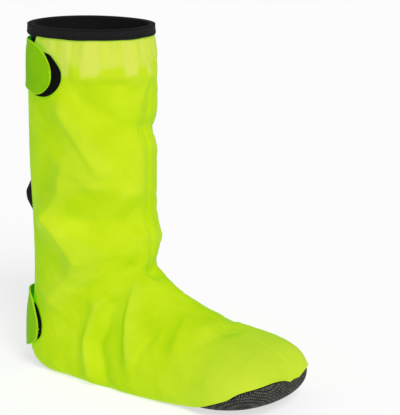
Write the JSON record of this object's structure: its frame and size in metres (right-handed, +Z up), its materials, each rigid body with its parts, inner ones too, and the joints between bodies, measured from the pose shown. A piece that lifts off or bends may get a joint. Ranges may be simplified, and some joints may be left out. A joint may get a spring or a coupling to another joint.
{
  "type": "cycling overshoe",
  "caption": "Tall waterproof overshoe for one foot, with a grip sole, an elastic-taped rim, a rear gusset and hook-and-loop closing tabs.",
  "frame": {"origin": "middle of the cover's box on the ground, under the sole", "axes": "+X towards the toe, -Y towards the outer side of the foot, +Z up"},
  "size_m": [0.3256, 0.1342, 0.378],
  "materials": {
    "coated_cloth": "fluorescent yellow-green coated polyester, faint satin sheen",
    "tab_cloth": "fluorescent green-yellow coated polyester, matt",
    "gusset_cloth": "black matt cloth",
    "grip_sole": "black matt, fine twill-like grip texture",
    "elastic_tape": "black matt knitted elastic",
    "loop_fabric": "black napped loop pile"
  },
  "bodies": {
    "root": {"lateral_panel": "coated_cloth", "medial_panel": "coated_cloth", "rear_gusset": "gusset_cloth", "sole": "grip_sole", "top_tape": "elastic_tape", "upper_tab": "tab_cloth", "lower_tab": "tab_cloth", "upper_loop_patch": "loop_fabric", "lower_loop_patch": "loop_fabric"}
  },
  "joints": []
}
